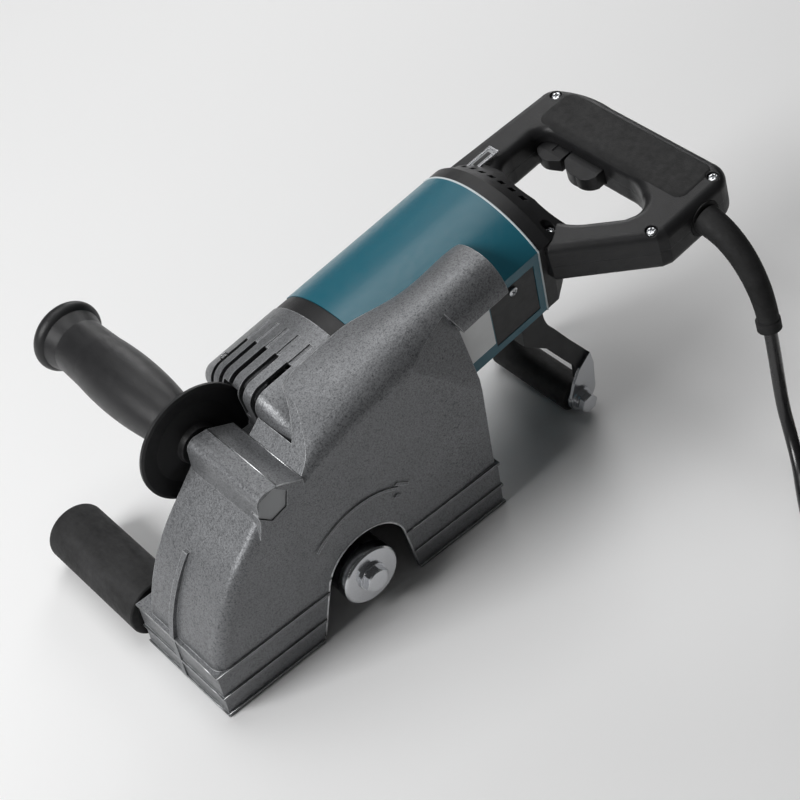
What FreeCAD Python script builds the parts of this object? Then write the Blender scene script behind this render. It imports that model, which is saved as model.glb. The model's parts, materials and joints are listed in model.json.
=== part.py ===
"""Hand-held wall chaser for 180 mm diamond blades, standing on its base with no blades fitted.

Work frame while modelling (mm): X runs to the rear from the front of the base, Y runs from
the blade side to the side-handle side, Z is up from the floor.  Motor, dust duct and rear
handle share a second frame that is pitched up towards the rear: s along the motor axis,
y across, h square to both.  At the end everything moves so that the origin is the bottom
centre of the machine's own box, without its cord.
"""
import FreeCAD
import Part
import math
import os

from FreeCAD import Vector

# ---------------------------------------------------------------- driving dimensions
PITCH = 8.0                 # motor axis, degrees above the floor towards the rear
SPINDLE = (125.0, 39.0)     # blade spindle, X and Z
FLANGE_R = 22.5
BLADE_ROOM_R = 96.5         # space for the 180 mm blades
WALL = 3.5
RIM_L, RIM_W, RIM_H = 249.0, 90.0, 42.0
COVER_W = 75.0              # upper part of the cover
BAND = 1.2                  # how far the bands round the rim stand out
ROOM_W = 53.5               # far side of the blade space
GAP = 0.4                   # between neighbouring castings and mouldings

MOTOR_Y, MOTOR_H = 70.0, 106.0
HOUSING_FRONT, BAFFLE_FRONT, MOTOR_FRONT, MOTOR_REAR = 130.0, 198.0, 210.5, 341.0
SHELL = 3.0

GRIP_AXIS = (73.0, 149.0)   # side handle, X and Z
GUARD_R, GUARD_Y = 42.7, 79.0
GRIP_R, GRIP_END = 21.5, 238.0

FRONT_ROLLER = (14.3, 22.5)
FRONT_ROLLER_R, FRONT_ROLLER_Y = 22.5, (92.5, 197.0)
REAR_ROLLER = (349.0, 13.5)
REAR_ROLLER_R, REAR_ROLLER_Y = 13.5, (27.0, 103.0)

HANDLE_TOP, HANDLE_MID, HANDLE_BOTTOM = 135.0, 118.0, 101.0
TRIGGER_TRAVEL, LOCK_TRAVEL = 7.0, 5.0

RUN_FIT = 0.05              # radial clearance of every shaft in its bearing

MODULE = 1.5
SPUR_TEETH, IDLER_TEETH = 20, 42
BEVEL_TEETH, PINION_TEETH = 36, 12
BEVEL_R, BEVEL_PINION_R = 30.0, 10.0
SPUR_Y = (92.0, 104.0)

CORD_R = 4.75
COIL_CENTRE = (397.3, -240.9)
COIL_INNER, COIL_OUTER, COIL_LAYERS = 49.75, 59.25, 4   # radii of the two turns side by side
COIL_EXIT = -6.0            # degrees, where the tail leaves the coil
TAIL_LENGTH = 42.0

NODES = {}


# ---------------------------------------------------------------- geometry helpers
def tilt(shape):
    """Take a shape from (s, y, h) to the work frame."""
    turned = shape.copy()
    turned.Placement = FreeCAD.Placement(Vector(0, 0, 0), FreeCAD.Rotation(Vector(0, 1, 0), -PITCH))
    return turned


def tilted_point(s, y, h):
    angle = math.radians(PITCH)
    x = s * math.cos(angle) - h * math.sin(angle)
    z = s * math.sin(angle) + h * math.cos(angle)
    return Vector(x, y, z)


def untilted(x, z):
    angle = math.radians(PITCH)
    return (x * math.cos(angle) + z * math.sin(angle), z * math.cos(angle) - x * math.sin(angle))


def rod(radius, start, end):
    run = end - start
    return Part.makeCylinder(radius, run.Length, start, run)


def ring(outer, inner, start, end):
    return rod(outer, start, end).cut(rod(inner, start, end))


def rod_y(radius, centre, y0, y1):
    return rod(radius, Vector(centre[0], y0, centre[1]), Vector(centre[0], y1, centre[1]))


def ring_y(outer, inner, centre, y0, y1):
    return ring(outer, inner, Vector(centre[0], y0, centre[1]), Vector(centre[0], y1, centre[1]))


def rod_s(radius, s0, s1, y=MOTOR_Y, h=MOTOR_H):
    return rod(radius, Vector(s0, y, h), Vector(s1, y, h))


def ring_s(outer, inner, s0, s1):
    return rod_s(outer, s0, s1).cut(rod_s(inner, s0, s1))


def box(low, high):
    size = Vector(*high) - Vector(*low)
    return Part.makeBox(size.x, size.y, size.z, Vector(*low))


def outline(items, place):
    """Closed wire.  An item is a point, or a pair (point on the arc, end of the arc)."""
    edges = []
    here = first = place(*items[0])
    for item in items[1:] + [items[0]]:
        if isinstance(item[0], tuple):
            middle, end = place(*item[0]), place(*item[1])
            edges.append(Part.Arc(here, middle, end).toShape())
        else:
            end = place(*item)
            if end.distanceToPoint(here) < 1e-6:
                continue
            edges.append(Part.makeLine(here, end))
        here = end
    if here.distanceToPoint(first) > 1e-6:
        edges.append(Part.makeLine(here, first))
    return Part.Wire(edges)


def prism_y(items, y0, y1):
    wire = outline(items, lambda a, b: Vector(a, y0, b))
    return Part.Face(wire).extrude(Vector(0, y1 - y0, 0))


def prism_s(items, s0, s1):
    wire = outline(items, lambda a, b: Vector(s0, a, b))
    return Part.Face(wire).extrude(Vector(s1 - s0, 0, 0))


def prism_h(items, h0, h1):
    wire = outline(items, lambda a, b: Vector(a, b, h0))
    return Part.Face(wire).extrude(Vector(0, 0, h1 - h0))


def fuse(shapes):
    whole = shapes[0]
    for shape in shapes[1:]:
        whole = whole.fuse(shape)
    return whole.removeSplitter()


def revolve_y(profile, centre):
    """Turn a half outline of (radius, y) about an axis parallel to Y."""
    wire = outline(profile, lambda r, y: Vector(centre[0] + r, y, centre[1]))
    face = Part.Face(wire)
    return face.revolve(Vector(centre[0], 0, centre[1]), Vector(0, 1, 0), 360)


def hexagon_y(across, centre, y0, y1, turn=0.0):
    radius = across / math.sqrt(3.0)
    corners = []
    for i in range(6):
        angle = math.radians(60 * i + turn)
        corners.append((centre[0] + radius * math.cos(angle), centre[1] + radius * math.sin(angle)))
    return prism_y(corners, y0, y1)


def gear_outline(teeth, radius, addendum, dedendum, phase):
    """Straight-flanked teeth: corners as (angle, radius), one tooth centred on phase."""
    step = 2 * math.pi / teeth
    corners = []
    for i in range(teeth):
        middle = phase + i * step
        for width, r in ((-0.31, radius - dedendum), (-0.10, radius + addendum),
                         (0.10, radius + addendum), (0.31, radius - dedendum)):
            angle = middle + width * step
            corners.append((r * math.cos(angle), r * math.sin(angle)))
    return corners


# ---------------------------------------------------------------- shared outlines
def motor_section(top=161.0, shoulder=136.0, side=0.0, hip=72.0, bottom=58.0):
    """Arched box section (y, h) of gear housing, motor and rear handle ring."""
    far = 2 * MOTOR_Y
    return [(13 + side, shoulder), ((MOTOR_Y, top), (far - 13 - side, shoulder)),
            (far - 21 - side, hip), (far - 44, bottom), (44, bottom), (21 + side, hip)]


def motor_block(offset, s0, s1):
    face = Part.Face(outline(motor_section(), lambda a, b: Vector(s0, a, b)))
    if offset:
        face = face.makeOffset2D(offset)
    return face.extrude(Vector(s1 - s0, 0, 0))


def blade_room(extra, y1):
    return rod_y(BLADE_ROOM_R + extra, SPINDLE, -5, y1)


def gear_case(offset, y0, y1):
    """Case round the gear train, in the work frame: three discs joined by straight webs."""
    counter, idler, spindle = gear_centres()
    discs = [(counter, 22.0), (idler, 38.0), (spindle, 24.0)]
    parts = [rod_y(r + offset, c, y0, y1) for c, r in discs]
    for (a, ra), (b, rb) in zip(discs, discs[1:]):
        run = Vector(b[0] - a[0], 0, b[1] - a[1])
        run.normalize()
        side = Vector(-run.z, 0, run.x)
        corners = []
        for c, r, sign in ((a, ra, 1), (b, rb, 1), (b, rb, -1), (a, ra, -1)):
            reach = sign * (min(ra, rb) + offset)
            corners.append((c[0] + side.x * reach, c[1] + side.z * reach))
        parts.append(prism_y(corners, y0, y1))
    return fuse(parts)


def gear_centres():
    """Countershaft, idler and spindle axes in X and Z."""
    spindle_s, spindle_h = untilted(*SPINDLE)
    reach = MODULE * (SPUR_TEETH + IDLER_TEETH)
    rise = MOTOR_H - spindle_h
    counter_s = spindle_s + math.sqrt(reach ** 2 - rise ** 2)
    counter = tilted_point(counter_s, 0, MOTOR_H)
    idler = ((counter.x + SPINDLE[0]) / 2, (counter.z + SPINDLE[1]) / 2)
    return (counter.x, counter.z), idler, SPINDLE


def counter_s():
    counter = gear_centres()[0]
    return untilted(*counter)[0]


def housing_room():
    """Everything that the castings of the cover must leave free for housing and motor."""
    room = motor_block(GAP, HOUSING_FRONT - GAP, MOTOR_REAR + 5)
    room = tilt(room).cut(blade_room(WALL, ROOM_W + WALL))
    return room.fuse(gear_case(GAP, ROOM_W + WALL, 130))


# ---------------------------------------------------------------- wheel cover
def cover_front():
    """Side view of the cover's front and rear walls above the rim, X and Z."""
    return [(2, 10), (2, RIM_H), ((14, 79), (45, 122)), (62, 140), (62, 150), (98, 152), (140, 190),
            (400, 250), (400, 205), (247, 158), (247, 10)]


DUCT_END = 303
DUCT_SECTIONS = (
    # s along the motor, then (y, h) from the blade side over the top
    (112, (0, 128), (2.5, 133), (14, 134.5), (36, 135), (56, 135)),
    (140, (0, 138), (3.5, 145), (16, 150.5), (38, 155.5), (56, 157)),
    (178, (0, 141), (3.5, 150), (15, 156.5), (36, 160.5), (56, 159.7)),
    (212, (0, 143), (3.5, 152.5), (13, 159.5), (34, 163), (54.5, 159.6)),
    (240, (0.6, 142), (4.2, 153.7), (13, 161), (31, 164), (48.2, 157.8)),
    (270, (1.2, 140), (4.5, 153.4), (12.4, 161.2), (30.6, 164.2), (46.4, 156.6)),
    (DUCT_END, (1.7, 138), (4.5, 152.6), (11.6, 160.8), (30.4, 164), (46.4, 156.4)),
)


def duct_body(inset, s_end):
    """Smooth top of the cover: low behind the boss, then the arched dust duct beside the motor."""
    wires = []
    for s, *shape in DUCT_SECTIONS:
        place = s_end if s == DUCT_END else s
        points = [Vector(place, 28 + (y - 28) * (1 - inset / 28), h - inset) for y, h in shape]
        crown = Part.BSplineCurve()
        crown.interpolate(points)
        low_near = Vector(place, points[0].y, -60)
        low_far = Vector(place, points[-1].y, -60)
        edges = [Part.makeLine(low_near, points[0]), crown.toShape(),
                 Part.makeLine(points[-1], low_far), Part.makeLine(low_far, low_near)]
        wires.append(Part.Wire(edges))
    front = Part.Face(wires[0]).extrude(Vector(-160, 0, 0))
    return Part.makeLoft(wires, True, False).fuse(front)


def rim():
    body = box((0, 0, 0), (RIM_L, RIM_W, RIM_H))
    bands = [box((-BAND, -BAND, z), (RIM_L + BAND, RIM_W, z + 2.2)) for z in (0.4, 17.6, 39.8)]
    return fuse([body] + bands)


def rotation_arrow():
    """Raised arc and head on the blade side that show which way the blades turn."""
    outer = [(93.2, 84.2), ((125, 98.6), (165, 88.6)), (164.2, 86.4), ((125, 96.2), (94.8, 82.4))]
    head = [(162, 92), (165, 93), (174, 86), (172.6, 84.4)]
    barb = [(160, 81.5), (163, 83), (166, 80.5), (164, 79)]
    return [prism_y(items, -1.1, 1) for items in (outer, head, barb)]


def notch():
    """Opening of the blade-side wall round the flange, open at the base."""
    return prism_y([(81.5, -1), (96.5, 45), ((129, 71), (163, 46)), (170, -1)], -3, WALL + 1)


def handle_boss():
    crest = [(58, 128), (61, 140), (61.5, 156), ((64, 160.5), (71, 162.5)), (79, 162), (98, 152.5), (98, 128)]
    return prism_y(crest, 0, 73)


def front_rib():
    """Upright rib in the middle of the curved front wall."""
    return prism_y([(-1.4, 0.4), (-1.4, RIM_H), ((11, 80), (27, 105)), (45, 105), (45, 0.4)], 46, 50.5)


def facet(depth=0.0):
    """Wedge off the rear of the blade side: the wall leans away under the duct, or depth inside it."""
    corner_a, corner_b = tilted_point(216, 0, 145), tilted_point(256, 8, 157.5)
    corner_c = tilted_point(258.6, 0, 71.7)
    outward = (corner_a - corner_c).cross(corner_b - corner_a)
    if outward.y > 0:
        outward = outward * -1
    outward.normalize()
    slab = Part.makeBox(200, 200, 30)
    slab.translate(Vector(-100, -100, 0))
    turn = FreeCAD.Rotation(Vector(0, 0, 1), outward)
    slab.Placement = FreeCAD.Placement(corner_a - outward * depth, turn).multiply(slab.Placement)
    side = [(190, 40), (290, 40), (290, 126), (263, 134), (256, 158), (256, 190), (190, 190)]
    return slab.common(tilt(prism_y(side, -12, 24)))


def wheel_cover():
    """Cast cover: blade space open below, dust duct to the rear, boss for the side handle."""
    low_duct = box((262, -5, 60), (320, 80, 139))
    top = tilt(duct_body(0, DUCT_END).cut(low_duct))
    walls = soft_front(prism_y(cover_front(), 0, 56)).common(top)
    back = prism_y([(2, 10), (2, RIM_H), ((14, 79), (45, 122)), (62, 140), (230, 140), (240, 100), (240, 10)],
                   50, COVER_W)
    solid = fuse([walls, back, rim(), handle_boss(), front_rib()] + rotation_arrow())
    solid = solid.cut(cover_space()).cut(housing_room()).cut(notch()).cut(facet())
    solid = solid.cut(hexagon_y(22, GRIP_AXIS, -1, 7, 15))
    solid = solid.cut(rod_y(7.0, GRIP_AXIS, 6, 80))
    solid = solid.cut(rod_y(6.05, FRONT_ROLLER, RIM_W - 8, RIM_W + 1))
    solid = solid.cut(rod_y(13.0, SPINDLE, ROOM_W - 1, ROOM_W + WALL + 1))
    return biggest(solid)


def soft_front(walls):
    """Round the edge between the curved front wall and the blade side."""
    edges = []
    for edge in walls.Edges:
        extent = edge.BoundBox
        if extent.YMax < 1e-6 and extent.XMax < 46 and extent.ZLength > 5:
            edges.append(edge)
    return walls.makeFillet(8.0, edges)


def cover_space():
    """Blade space, dust way and the hollow behind the far skirt."""
    inner = [(6, -5), (6, RIM_H), ((18, 78), (48, 119)), (60, 132), (104, 132), (104, 147), (140, 175),
             (400, 240), (400, 212), (243, 152), (243, -5)]
    low_duct = box((258, -5, 60), (330, 80, 142))
    space = prism_y(inner, WALL, ROOM_W).common(tilt(duct_body(WALL, DUCT_END + 3).cut(low_duct)))
    space = space.cut(tilt(motor_block(GAP + WALL - 1, HOUSING_FRONT - 4, 320)))
    space = space.cut(facet(WALL))
    skirt = box((4, ROOM_W + WALL, -1), (RIM_L - 4, RIM_W - WALL, RIM_H - WALL))
    behind = prism_y([(6, 30), (6, RIM_H), ((18, 78), (48, 119)), (60, 130), (243, 130), (243, 30)],
                     ROOM_W + WALL, COVER_W + 1)
    behind = behind.cut(box((0, ROOM_W, RIM_H - WALL), (RIM_L, RIM_W, RIM_H)))
    behind = behind.cut(rod_y(13, GRIP_AXIS, ROOM_W, COVER_W + 1))
    blades = blade_room(0, ROOM_W).common(box((0, WALL, -5), (250, ROOM_W, 200)))
    return space.fuse(skirt).fuse(behind).fuse(blades)


def biggest(shape):
    return max(shape.Solids, key=lambda solid: solid.Volume)


def cover_nodes():
    NODES["wheel_cover"] = wheel_cover()
    NODES["boss_plug"] = hexagon_y(21.4, GRIP_AXIS, 1.0, 6.0, 15)


# ---------------------------------------------------------------- gear housing and motor
def vent_slots():
    """Five L-shaped cooling slots that run along the top and bend down the front."""
    cuts = []
    for i in range(5):
        y = 59.5 + 12.2 * i
        crown = 85 + math.sqrt(76.0 ** 2 - (y - MOTOR_Y) ** 2)
        cuts.append(box((138, y - 2.4, crown - 9), (166, y + 2.4, 170)))
        cuts.append(box((125, y - 2.4, crown - 27), (139, y + 2.4, 170)))
        cuts.append(box((165, y - 1.6, crown - 0.9), (185, y + 1.6, 170)))
    return fuse(cuts)


def rounded_head(offset, radius):
    """Front part of the motor section with its leading edge rounded over."""
    front = HOUSING_FRONT - offset
    block = motor_block(offset, front, BAFFLE_FRONT + 1)
    edges = []
    for edge in block.Edges:
        extent = edge.BoundBox
        if extent.XLength < 1e-6 and abs(extent.XMin - front) < 1e-6 and extent.ZMax > 130:
            edges.append(edge)
    return block.makeFillet(radius, edges)


def guard_room(gap):
    """Space in (s, y, h) that the guard of the side handle keeps free in front of the housing."""
    room = rod_y(GUARD_R + gap, GRIP_AXIS, GUARD_Y - 3 - gap, GUARD_Y + 12 + gap)
    room.rotate(Vector(0, 0, 0), Vector(0, 1, 0), PITCH)
    return room


def gear_housing():
    head = rounded_head(0, 12.0).cut(box((BAFFLE_FRONT, -50, 0), (300, 250, 300)))
    head = head.cut(guard_room(1.0)).cut(rounded_head(-SHELL, 9.0).cut(guard_room(1.0 + SHELL)))
    inner_room = tilt(box((134, 60, 60), (BAFFLE_FRONT + 1, 125, 145)))
    case = gear_case(0, ROOM_W + WALL + GAP, 108).cut(gear_case(-WALL, 90, 109))
    case = case.cut(inner_room.common(box((0, 60, 0), (400, 88, 300))))
    solid = tilt(head.cut(vent_slots())).cut(blade_room(WALL + GAP, ROOM_W + WALL + GAP))
    solid = solid.cut(gear_case(-WALL, 90, 109)).fuse(case)
    counter, idler, spindle = gear_centres()
    solid = solid.cut(rod_y(41, counter, 74, 89.5).common(tilt(box((134, 60, 60), (200, 125, 150)))))
    for centre, radius in ((counter, 11.0), (idler, 11.0), (spindle, 16.0)):
        solid = solid.cut(rod_y(radius, centre, 82, 91))
    solid = solid.cut(rod_y(13.0, spindle, ROOM_W, 91))
    solid = solid.cut(rod_y(16.0, spindle, 62, 74))
    solid = solid.cut(tilt(rod_s(20, 180, BAFFLE_FRONT + 1)))
    return biggest(solid.removeSplitter())


def motor_shells():
    hollow = motor_block(-SHELL, MOTOR_FRONT, MOTOR_REAR + 1)
    housing = motor_block(0, MOTOR_FRONT + 0.1, MOTOR_REAR).cut(hollow)
    housing = housing.fuse(side_recess_floor()).cut(side_recess())
    housing = tilt(housing).cut(blade_room(WALL + GAP, ROOM_W + WALL + GAP))
    NODES["motor_housing"] = biggest(housing)
    baffle = motor_block(-0.6, BAFFLE_FRONT + 0.1, MOTOR_FRONT).cut(rod_s(30, BAFFLE_FRONT, MOTOR_FRONT + 1))
    spokes = ring_s(19, 14.0, BAFFLE_FRONT + 3, MOTOR_FRONT - 0.5)
    arm = box((BAFFLE_FRONT + 3, MOTOR_Y + 17, MOTOR_H - 3), (MOTOR_FRONT - 1, MOTOR_Y + 32, MOTOR_H + 3))
    spokes = fuse([spokes] + [about_motor(arm, angle) for angle in (45, 135, 225, 315)])
    baffle = tilt(baffle.fuse(spokes)).cut(blade_room(WALL + GAP, ROOM_W + WALL + GAP))
    NODES["baffle_ring"] = biggest(baffle.removeSplitter())


def near_wall(offset):
    """Plane of the motor's blade side as (y, h) pairs at its two corners, moved outwards."""
    return (13 - offset, 136), (21 - offset, 72)


def wall_slab(s0, s1, h0, h1, outer, inner):
    """Piece of the motor's blade-side wall between two depths under its surface."""
    (top_y, top_h), (low_y, low_h) = near_wall(0)

    def at(h, depth):
        return (top_y + (low_y - top_y) * (top_h - h) / (top_h - low_h) + depth, h)
    return prism_s([at(h1, outer), at(h1, inner), at(h0, inner), at(h0, outer)], s0, s1)


PANEL = (293.5, 335.0, 79.0, 127.0)
LABEL = (262.0, 292.5, 84.0, 127.0)
PANEL_SCREW = Vector(314, 15.1, 121)


def side_recess():
    return wall_slab(*PANEL, -1, 2.0)


def side_recess_floor():
    return wall_slab(PANEL[0] - 2, PANEL[1] + 2, PANEL[2] - 2, PANEL[3] + 2, 0.5, 5.0)


def motor_trim():
    panel = wall_slab(PANEL[0] + 0.4, PANEL[1] - 0.4, PANEL[2] + 0.4, PANEL[3] - 0.4, 0.3, 2.0)
    panel = panel.cut(Part.makeCylinder(3.9, 6, PANEL_SCREW, Vector(0, -1, -0.12)))
    NODES["side_panel"] = tilt(biggest(panel))
    NODES["blank_label"] = tilt(wall_slab(*LABEL, -0.25, 0.0))


def panel_screw():
    screw = Part.makeCylinder(3.7, 2.4, PANEL_SCREW, Vector(0, -1, -0.12))
    return screw.cut(wall_slab(290, 340, 70, 135, 2.0, 8.0))


def motor_inside():
    NODES["stator_core"] = tilt(ring_s(42, 29.5, 232, 292))
    coils = [ring_s(38, 30.5, s, s + 9.5) for s in (222, 292.5)]
    NODES["stator_coils"] = tilt(Part.makeCompound(coils))
    NODES["armature_shaft"] = tilt(fuse([rod_s(4.0, 187, 199), rod_s(6.0, 199, 342), rod_s(8.0, 214, 326)]))
    core = ring_s(28.7, 8.0, 232, 292)
    for i in range(12):
        slot = box((231, MOTOR_Y - 1.2, MOTOR_H + 18), (293, MOTOR_Y + 1.2, MOTOR_H + 30))
        core = core.cut(about_motor(slot, 30 * i))
    NODES["armature_core"] = tilt(core)
    NODES["commutator"] = tilt(ring_s(15.0, 8.0, 306, 324))
    fan = [ring_s(10.0, 8.0, 215, 222), ring_s(31, 9.9, 220.4, 221.9)]
    for i in range(9):
        vane = box((215, MOTOR_Y + 9.5, MOTOR_H - 0.8), (221, MOTOR_Y + 30.5, MOTOR_H + 0.8))
        fan.append(about_motor(vane, 40 * i))
    NODES["cooling_fan"] = tilt(fuse(fan))
    journal = 6.0 + RUN_FIT
    bearings = [ring_s(14.0, journal, 201.2, 209.2), ring_s(13.0, journal, 331, 341)]
    NODES["motor_bearings"] = tilt(Part.makeCompound(bearings))
    NODES["bearing_bracket"] = tilt(rear_bracket_plate())


def about_motor(shape, degrees):
    turned = shape.copy()
    turned.rotate(Vector(0, MOTOR_Y, MOTOR_H), Vector(1, 0, 0), degrees)
    return turned


def rear_bracket_plate():
    """Spider that carries the rear motor bearing inside the housing."""
    plate = ring_s(17, 13.0, 331, 341)
    for angle in (0, 90, 180, 270):
        arm = box((334, MOTOR_Y + 16, MOTOR_H - 4), (340, MOTOR_Y + 42, MOTOR_H + 4))
        plate = plate.fuse(about_motor(arm, angle))
    return plate.removeSplitter()


def brush_gear():
    holders, brushes, springs = [], [], []
    for sign in (1, -1):
        def at(low, high, half):
            ends = sorted((MOTOR_Y + sign * low, MOTOR_Y + sign * high))
            return box((315 - half, ends[0], MOTOR_H - half), (315 + half, ends[1], MOTOR_H + half))
        holders.append(at(18, 42, 7).cut(at(17, 43, 4.0)))
        brushes.append(at(15.4, 30, 3.95))
        springs.append(at(30, 40, 3.0))
    NODES["brush_holders"] = tilt(Part.makeCompound(holders))
    NODES["brushes"] = tilt(Part.makeCompound(brushes))
    NODES["brush_springs"] = tilt(Part.makeCompound(springs))


# ---------------------------------------------------------------- drive
def spur_gear(teeth, centre, phase, bore):
    corners = gear_outline(teeth, MODULE * teeth / 2, 0.85 * MODULE, 1.15 * MODULE, phase)
    placed = [(centre[0] + a, centre[1] + b) for a, b in corners]
    return prism_y(placed, SPUR_Y[0], SPUR_Y[1]).cut(rod_y(bore, centre, SPUR_Y[0] - 1, SPUR_Y[1] + 1))


def bevel_wheel(teeth, radius, reach, phase, place):
    """Straight bevel teeth whose lines all meet in the apex."""
    slope = math.hypot(radius, reach) / reach
    size = 2 * radius / teeth
    corners = gear_outline(teeth, radius, 0.7 * size * slope, 1.15 * size * slope, phase)
    wires = []
    for part in (0.72, 1.0):
        points = [place(reach * part, a * part, b * part) for a, b in corners]
        wires.append(Part.makePolygon(points + [points[0]]))
    return Part.makeLoft(wires, True, True)


def drive_nodes():
    counter, idler, spindle = gear_centres()
    line = math.atan2(spindle[1] - counter[1], spindle[0] - counter[0])
    half_idler = math.pi / IDLER_TEETH
    pinion = spur_gear(SPUR_TEETH, counter, line, 6.0)
    NODES["countershaft"] = fuse([rod_y(7.0, counter, 76, 107), pinion])
    NODES["idler_gear"] = spur_gear(IDLER_TEETH, idler, line + math.pi + half_idler, 8.0)
    NODES["spindle_gear"] = spur_gear(SPUR_TEETH, spindle, line + math.pi, 8.0)
    apex_s = counter_s()
    gear = bevel_wheel(BEVEL_TEETH, BEVEL_R, BEVEL_PINION_R, math.pi / BEVEL_TEETH,
                       lambda d, a, b: Vector(apex_s + a, MOTOR_Y + d, MOTOR_H + b))
    gear = gear.fuse(rod(12, Vector(apex_s, MOTOR_Y + 8, MOTOR_H), Vector(apex_s, MOTOR_Y + 11.5, MOTOR_H)))
    gear = gear.cut(rod(7.0, Vector(apex_s, 60, MOTOR_H), Vector(apex_s, 90, MOTOR_H)))
    NODES["bevel_gear"] = tilt(gear)
    small = bevel_wheel(PINION_TEETH, BEVEL_PINION_R, BEVEL_R, 0.0,
                        lambda d, a, b: Vector(apex_s + d, MOTOR_Y + a, MOTOR_H + b))
    NODES["bevel_pinion"] = tilt(small.cut(rod_s(4.0, 180, 200)))
    NODES["idler_shaft"] = rod_y(8.0, idler, 83, 107)
    counter_bearing = ring_y(11.0, 7.0 + RUN_FIT, counter, 83, 90.5)
    idler_bearing = ring_y(11.0, 8.0 + RUN_FIT, idler, 83, 90.5)
    NODES["shaft_bearings"] = Part.makeCompound([counter_bearing, idler_bearing])
    shaft = fuse([rod_y(8.0, spindle, 50, 107), rod_y(11.0, spindle, 20, 50)])
    NODES["spindle"] = shaft.cut(rod_y(4.9, spindle, 5, 40))
    seats = [ring_y(16.0, 8.0 + RUN_FIT, spindle, y0, y1) for y0, y1 in ((63, 73), (83, 90.5))]
    NODES["spindle_bearings"] = Part.makeCompound(seats)
    case_lid()
    flange_stack()


def case_lid():
    """Lid on the side-handle side of the gear case, with its screws."""
    lid = gear_case(0, 108.2, 112).cut(tilt(motor_block(GAP, HOUSING_FRONT - GAP, BAFFLE_FRONT)))
    heads, shanks = [], []
    for centre, radius, angle in lid_screw_places():
        x = centre[0] + radius * math.cos(angle)
        z = centre[1] + radius * math.sin(angle)
        heads.append(rod_y(4.2, (x, z), 112, 115.5).fuse(rod_y(2.0, (x, z), 108.2, 112)))
        shanks.append(rod_y(2.0, (x, z), 107, 113))
    NODES["gear_case_lid"] = lid.cut(fuse(shanks))
    NODES["gear_case_screws"] = Part.makeCompound(heads)


def lid_screw_places():
    idler, spindle = gear_centres()[1:]
    places = [(spindle, 18, math.radians(angle)) for angle in (200, 290, 340)]
    return places + [(idler, 32, math.radians(angle)) for angle in (165, 215, 325)]


def flange_stack():
    """Flanges and spacers that clamp the blades, with the hexagon-head bolt."""
    face = -9.0
    NODES["inner_flange"] = ring_y(FLANGE_R, 11.0, SPINDLE, 44, 49.9)
    spacers = [ring_y(FLANGE_R - 0.6, 11.1, SPINDLE, 0, 14.5)]
    for y0, y1 in ((14.5, 24.5), (24.5, 34.5), (34.5, 43.9)):
        spacers.append(ring_y(18.0, 11.1, SPINDLE, y0, y1))
    NODES["blade_spacers"] = Part.makeCompound(spacers)
    profile = [(5.3, face), (FLANGE_R - 1.2, face), (FLANGE_R, face + 1.2), (FLANGE_R, -0.1), (5.3, -0.1)]
    NODES["outer_flange"] = revolve_y(profile, SPINDLE)
    head = hexagon_y(17, SPINDLE, face - 7.0, face - 2.0, 12)
    crown = revolve_y([(0, face - 8.0), (6.5, face - 8.0), (10.5, face - 5.5), (10.5, 0), (0, 0)], SPINDLE)
    washer = rod_y(11.0, SPINDLE, face - 2.0, face)
    shank = rod_y(4.85, SPINDLE, face, 38)
    NODES["flange_bolt"] = fuse([head.common(crown), washer, shank])


# ---------------------------------------------------------------- side handle and rollers
def side_handle():
    grip = [(0, 90), (13, 90), (17, 92), (18, 97), (17.5, 103), ((GRIP_R + 0.6, 135), (GRIP_R, 190)),
            (20.5, 215), (23, 225), ((26.5, 230), (24, 236)), (20, GRIP_END), (0, GRIP_END)]
    body = revolve_y(grip, GRIP_AXIS)
    NODES["side_grip"] = body.cut(rod_y(6.0, GRIP_AXIS, 80, 150))
    guard = [(7.1, GUARD_Y - 3), (14, GUARD_Y - 3), (15, GUARD_Y + 1), (30, GUARD_Y + 3),
             (GUARD_R - 2, GUARD_Y + 1.2), (GUARD_R, GUARD_Y + 2), (GUARD_R, GUARD_Y + 4),
             (GUARD_R - 4, GUARD_Y + 5), (30, GUARD_Y + 7), (15, GUARD_Y + 8), (14, GUARD_Y + 10.9),
             (7.1, GUARD_Y + 10.9)]
    NODES["side_guard"] = revolve_y(guard, GRIP_AXIS)
    NODES["side_handle_bolt"] = fuse([rod_y(6.0, GRIP_AXIS, 84, 150), rod_y(6.95, GRIP_AXIS, 30, 89.9)])


def front_roller():
    y0, y1 = FRONT_ROLLER_Y
    tread = [(17, y0), (FRONT_ROLLER_R - 1, y0), (FRONT_ROLLER_R, y0 + 1), (FRONT_ROLLER_R, y1 - 5),
             ((FRONT_ROLLER_R - 1.5, y1 - 1.5), (FRONT_ROLLER_R - 5, y1)), (17, y1)]
    NODES["front_roller_tread"] = revolve_y(tread, FRONT_ROLLER)
    NODES["front_roller_core"] = ring_y(17, 6.0 + RUN_FIT, FRONT_ROLLER, y0 + 0.2, y1 - 0.5)
    NODES["front_roller_axle"] = rod_y(6.0, FRONT_ROLLER, RIM_W - 7.5, y1 + 1.5)
    NODES["front_roller_clip"] = ring_y(11.0, 6.0, FRONT_ROLLER, y1 - 0.2, y1 + 1.4)


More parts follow.
